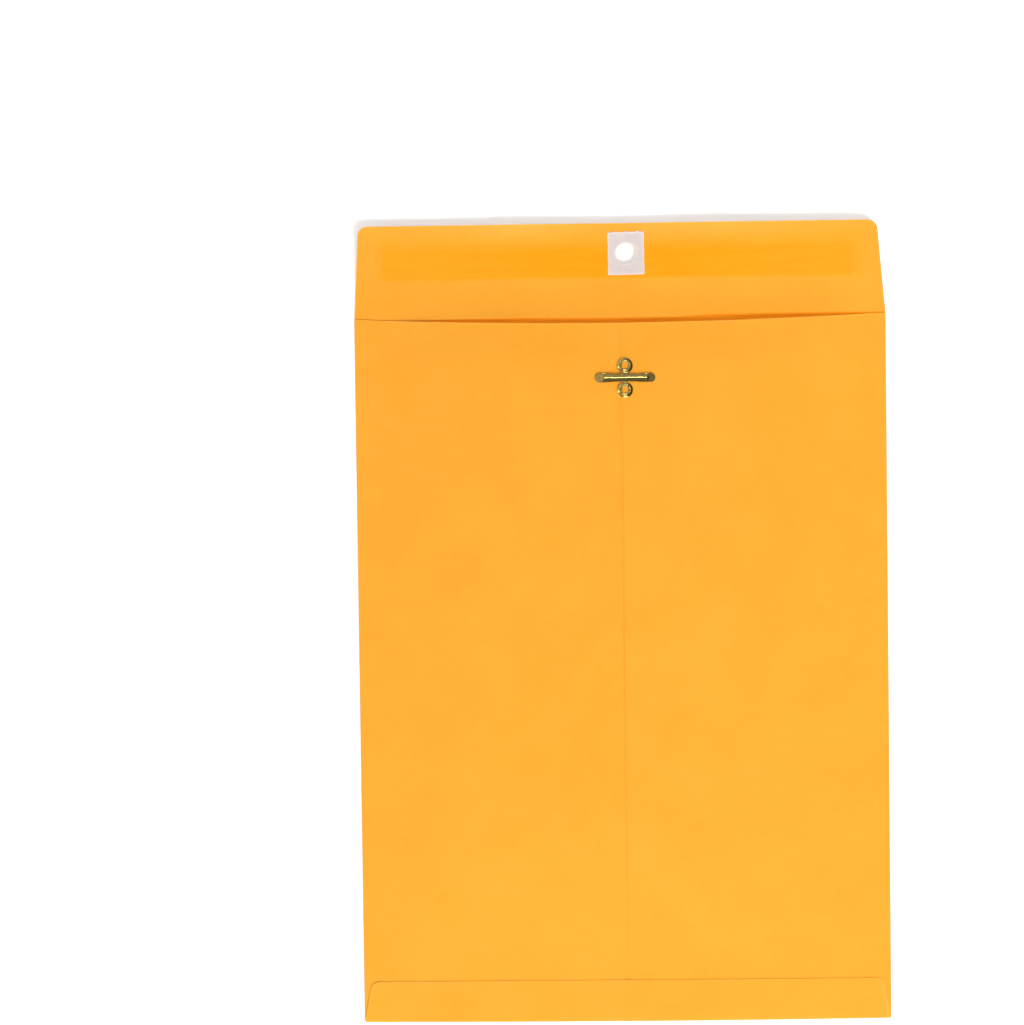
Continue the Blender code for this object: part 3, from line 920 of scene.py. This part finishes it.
def addGum(material):
    columns = evenRound(lines(gumLow.x, gumHigh.x, flap["mesh"]), holeX, hole["block"], holeSteps)
    rows = lines(gumLow.y - creaseY, gumHigh.y - creaseY, flap["rowMesh"])
    rows = evenRound(rows, hole["centre"][1], hole["block"], holeSteps)
    flat = flatGrid(columns, rows, hole)
    points, faces = thickSheet(flat, onFlap(0.01 * mm + gum["film"] / 2), gum["film"])
    # the gum gets the same painted highlight along the curled edge
    piece = makePiece("gumCoat", points, faces, material, paintedSheenEdge(flat[0][:, 0], flat[0][:, 1]))
    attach(piece, "flap")
    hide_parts("gum_band")


def patchPlace(a, b):  # a and b are measured from the hole's centre
    half = patch["length"] / 2
    top = ease((b - half + patch["tornRun"]) / patch["tornRun"])
    for at, height, width in patch["nubs"]:
        b = b + height * mm * top * np.exp(-((a / mm - at) / width) ** 2)
    rim = ease((np.abs(a) - 6.6 * mm) / patch["sideRun"])
    a = a + patch["sideWave"] * rim * np.sin(b / (1.1 * mm) + np.sign(a))
    skew = radians(patch["skew"])
    x = holeX + a - b * tan(skew)
    u = hole["centre"][1] + b + a * tan(skew)
    curl = patch["leftCurl"] * ease((-a - 5 * mm) / (3 * mm)) + patch["topCurl"] * top
    return x, creaseY + u, flapZ(x, u) + paper / 2 + patch["bed"] + curl


def patchLines(half, block):
    inner = half - patch["mesh"]
    crowded = {side * (half - away * mm) for side in (-1, 1) for away in (0, 0.2, 0.45)}
    return evenRound(crowded | set(lines(-inner, inner, patch["mesh"])), 0, block, 40)


def addPatch(material):
    halfA, halfB = patch["width"] / 2, patch["length"] / 2
    around = {"centre": (0, 0), "radius": hole["radius"] + 0.05 * mm, "block": 6.2 * mm, "rings": 6}
    columns = patchLines(halfA, around["block"])
    rows = patchLines(halfB, around["block"])
    flat = flatGrid(columns, rows, around)
    a, b = flat[0][:, 0], flat[0][:, 1]
    free = np.minimum(halfA - np.abs(a), halfB - np.abs(b))
    free = np.minimum(free, np.hypot(a, b) - around["radius"])
    points, faces = thickSheet(flat, patchPlace, patch["thick"])
    paler = np.exp(-(free / patch["edgeReach"]) ** 2)
    piece = makePiece("holePatch", points, faces, material, paler)
    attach(piece, "flap")
    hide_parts("hole_patch")


# clasp
clasp = {
    "spacing": 10.4 * mm,
    "plate": 0.3 * mm,
    "neck": 1.62 * mm,  # half the neck's width
    "neckStart": 1.5 * mm,  # from the bar's middle to where the neck widens
    "neckRun": 2 * mm,
    "neckEnd": 1.7 * mm,  # how far before a ring's centre it ends, under the ring
    "neckFlare": 0.22,
    "neckDip": 0.08 * mm,  # how far the upper neck sinks towards the bar
    "barRoot": 1.5 * mm,  # half the bar's width at its middle
    "barTip": 1.98 * mm,
    "barThick": 0.35 * mm,
    "barRound": 0.09 * mm,  # how far its edges are rounded
    "bendHalf": 0.32 * mm,  # half the length that bends at the root
    "rib": 0.2 * mm,
    "ribCrest": 0.3 * mm,  # how broadly the rib's crest is rounded
    "ribHalf": 1.8 * mm,
    "ribEnd": 10.4 * mm,
    "ribFade": 1.1 * mm,
    "droop": 0.36 * mm,
    "droopFrom": 9.4 * mm,
    "droopEase": 0.25,
    "claw": 0.25 * mm,
    "clawHalf": 0.75 * mm,
    "clawOut": 1.42 * mm,
    "clinch": 1.1 * mm,
    "clawTop": 0.25 * mm,  # where the claws leave the ring, above the paper
    "seat": 0.02 * mm,  # clearance under the plate
}
leftProngLow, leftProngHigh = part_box("clasp_left_prong")
claspZ = rightHigh.z + clasp["seat"]  # just over the paper under the clasp
barZ = joints["left_prong_bend"].z
barLength = claspX - leftProngLow.x

# a ring's section from its outer foot over the crown and down into the squarish eye:
# radius, height and how square the outline is there
ringSection = (
    (3.40, 0.00, 2.0), (3.40, 0.08, 2.0), (3.36, 0.18, 2.0), (3.26, 0.28, 2.0), (3.08, 0.40, 2.0),
    (2.84, 0.53, 2.0), (2.58, 0.64, 2.0), (2.34, 0.70, 2.1), (2.14, 0.69, 2.3), (1.99, 0.61, 2.6),
    (1.90, 0.57, 2.9), (1.80, 0.60, 3.2), (1.66, 0.66, 3.6), (1.52, 0.63, 4.0), (1.41, 0.50, 4.4),
    (1.34, 0.25, 4.8), (1.30, 0.00, 5.0),
)
ringSteps = 72


def ringShell(end):
    angles = np.linspace(0, 2 * pi, ringSteps, endpoint=False)
    points = []
    for radius, height, square in ringSection:
        wide = np.abs(np.cos(angles)) ** square + np.abs(np.sin(angles)) ** square
        reach = radius * mm / wide ** (1 / square)
        x = claspX + reach * np.cos(angles)
        y = claspY + end * clasp["spacing"] / 2 + reach * np.sin(angles)
        points.append(np.stack([x, y, np.full(ringSteps, claspZ + height * mm)], axis=1))
    faces = []
    for i in range(len(ringSection)):
        here = i * ringSteps
        there = (i + 1) % len(ringSection) * ringSteps
        for k in range(ringSteps):
            after = (k + 1) % ringSteps
            faces.append((here + k, here + after, there + after, there + k))
    return np.vstack(points), faces


def neckPlace(a, b):  # widens towards the rings
    away = np.clip((np.abs(b) - clasp["neckStart"]) / clasp["neckRun"], 0, 1)
    x = claspX + a * (1 + clasp["neckFlare"] * ease(away))
    z = claspZ + clasp["plate"] / 2 + clasp["seat"] + clasp["neckDip"] * np.where(b > 0, away, 0)
    return x, claspY + b, z


def neckShell():
    half = clasp["spacing"] / 2 - clasp["neckEnd"]
    flat = flatGrid(lines(-clasp["neck"], clasp["neck"], 0.27 * mm), lines(-half, half, 0.3 * mm))
    return thickSheet(flat, neckPlace, clasp["plate"])


def clawShell(end, quarter):
    foot = leftHigh.z - paper - clasp["claw"] / 2 - 0.03 * mm
    turn = quarter * pi / 2
    down = claspZ + clasp["clawTop"] - foot

    def place(a, path):
        below = np.minimum(path, down)
        out = clasp["clawOut"] + np.clip(path - down, 0, None)
        z = claspZ + clasp["clawTop"] - below
        x = claspX + out * np.cos(turn) - a * np.sin(turn)
        y = claspY + end * clasp["spacing"] / 2 + out * np.sin(turn) + a * np.cos(turn)
        return x, y, z

    rows = lines(0, down, 0.3 * mm) + lines(down, down + clasp["clinch"], 0.3 * mm)[1:]
    flat = flatGrid(lines(-clasp["clawHalf"], clasp["clawHalf"], 0.5 * mm), rows)
    return thickSheet(flat, place, clasp["claw"])


def addClaspBase(material):
    shells = [neckShell()]
    for end in (-1, 1):
        shells.append(ringShell(end))
        shells += [clawShell(end, quarter) for quarter in range(4)]
    base = makePiece("claspPlate", *joinShells(shells), material)
    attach(base, "pocket")
    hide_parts("clasp_base")


def addProng(name, side, node, material):
    tip = clasp["barTip"]
    straight = barLength - tip

    def place(d, row):
        width = clasp["barRoot"] + (tip - clasp["barRoot"]) * ease(d / straight)
        over = np.clip((d - straight) / tip, 0, 1)
        half = width * np.sqrt(np.clip(1 - over ** 2, 0, 1))
        b = half * row
        crest = clasp["ribCrest"]
        slope = (np.hypot(b, crest) - crest) / (np.hypot(clasp["ribHalf"], crest) - crest)
        rib = clasp["rib"] * np.clip(1 - slope, 0, 1)
        rib = rib * ease((clasp["ribEnd"] - d) / clasp["ribFade"])
        out = np.clip(d - clasp["droopFrom"], 0, None) / (barLength - clasp["droopFrom"])
        droop = clasp["droop"] * (1 + clasp["droopEase"]) * out ** 2 / (out + clasp["droopEase"])
        return claspX + side * d, claspY + b * side, barZ + rib - droop

    arc = [straight + tip * np.sin(angle) for angle in np.linspace(0, radians(84), 10)]
    columns = lines(0, 1.2 * mm, 0.07 * mm) + lines(1.2 * mm, straight, 0.4 * mm)[1:] + arc[1:]
    upper = [0.05, 0.1, 0.15, 0.2, 0.26, 0.32, 0.39, 0.46, 0.53, 0.62, 0.72, 0.82, 0.91, 0.97, 1]
    rows = [-row for row in reversed(upper)] + [0] + upper
    points, faces = thickSheet(flatGrid(columns, rows), place, clasp["barThick"])
    prong = makePiece(name, points, faces, material, bevel=clasp["barRound"])
    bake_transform(prong)
    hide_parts(node)


# floor and light
studio = {
    "floor": 8.0,  # half its side, in metres
    "floorTone": 0.76,
    "floorGlow": 0.45,
    "horizon": 1.0,
    "dome": 0.09,
    "domeBehind": 0.33,
    "domeLeft": 0.42,
}
lamps = {
    "keyLamp": {"place": (1.3, -1.75, 3.0), "size": (0.8, 0.8), "power": 84.0, "shines": False},
    "glintLamp": {"place": (-0.1, -1.3, 1.9), "size": (0.5, 0.5), "power": 3.6, "shines": True},
    "lowLamp": {"place": (0.1, -0.95, 0.55), "size": (0.7, 0.3), "power": 3.0, "shines": True},
    "crestLamp": {"place": (0.04, 0.29, 2.2), "size": (0.24, 0.08), "power": 1.35, "shines": True},
    "sideLamp": {"place": (-1.3, -0.2, 0.9), "size": (0.4, 0.8), "power": 2.0, "shines": True},
    "fillLamp": {"place": (0.47, 0.22, 0.35), "size": (0.2, 0.2), "power": 0.4, "shines": False},
}


def addFloor():
    mesh = bpy.data.meshes.new("paleFloor")
    shape = bmesh.new()
    bmesh.ops.create_grid(shape, x_segments=4, y_segments=4, size=studio["floor"])
    shape.to_mesh(mesh)
    shape.free()
    material, shade = newFinish("paleFloor")
    tone = studio["floorTone"]
    matte = shade.node("ShaderNodeBsdfDiffuse", {}, {"Color": colour(tone, tone, tone)}, "BSDF")
    path = "ShaderNodeLightPath"
    seen = shade.node(path, {}, {}, "Is Camera Ray").most(shade.node(path, {}, {}, "Is Glossy Ray"))
    seen = seen.most(shade.node(path, {}, {}, "Is Transmission Ray"))
    strength = {"Strength": seen * studio["floorGlow"]}
    glow = shade.node("ShaderNodeEmission", {}, strength, "Emission")
    closeFinish(shade, shade.node("ShaderNodeAddShader", {}, {0: matte, 1: glow}, 0))
    mesh.materials.append(material)
    floor = bpy.data.objects.new("paleFloor", mesh)
    floor.location.z = -0.05 * mm
    scene.collection.objects.link(floor)


def addLight():
    world = bpy.data.worlds.new("softRoom")
    scene.world = world
    world.use_nodes = True
    world.node_tree.nodes.clear()
    shade = Shade(world.node_tree)
    x, y, z = shade.node("ShaderNodeTexCoord", {}, {}, "Generated").axes()
    leftSide = (x * -1).ramp(-0.1, 0.5)
    rightSide = x.ramp(0.1, 0.5)
    behind = y.ramp(-0.42, 0.15) * (1 - 0.9 * rightSide)
    dome = studio["dome"] + studio["domeBehind"] * behind + studio["domeLeft"] * leftSide
    level = dome + (studio["horizon"] - dome) * (1 - z.ramp(0.04, 0.22))
    sky = shade.node("ShaderNodeBackground", {}, {"Strength": level}, "Background")
    shade.node("ShaderNodeOutputWorld", {}, {"Surface": sky})
    aim = Vector((0, 0, 0))
    for name, lamp in lamps.items():
        data = bpy.data.lights.new(name, "AREA")
        data.shape = "RECTANGLE"
        data.size, data.size_y = lamp["size"]
        data.energy = lamp["power"]
        holder = bpy.data.objects.new(name, data)
        holder.location = lamp["place"]
        holder.visible_glossy = lamp["shines"]  # whether the metal mirrors it
        holder.rotation_euler = (aim - holder.location).to_track_quat("-Z", "Y").to_euler()
        scene.collection.objects.link(holder)


addCamera()
kraftPaper = kraftFinish()
metal = brassFinish()
glueCoat = glueFinish()
addFront(kraftPaper)
wingPiece("leftWingSheet", -1, leftHigh.x, lowerZ, mouthY, kraftPaper, "pocket", "left_wing")
wingPiece("rightWingSheet", 1, seamX, upperZ, seamMouthY, kraftPaper, "pocket", "right_wing")
addBottomFlap(kraftPaper)
addGlue(glueCoat)
addFlap(kraftPaper)
addGum(gumFinish())
addPatch(patchFinish())
addClaspBase(metal)
addProng("leftProng", -1, "clasp_left_prong", metal)
addProng("rightProng", 1, "clasp_right_prong", metal)
addFloor()
addLight()
scene.view_settings.view_transform = "Standard"
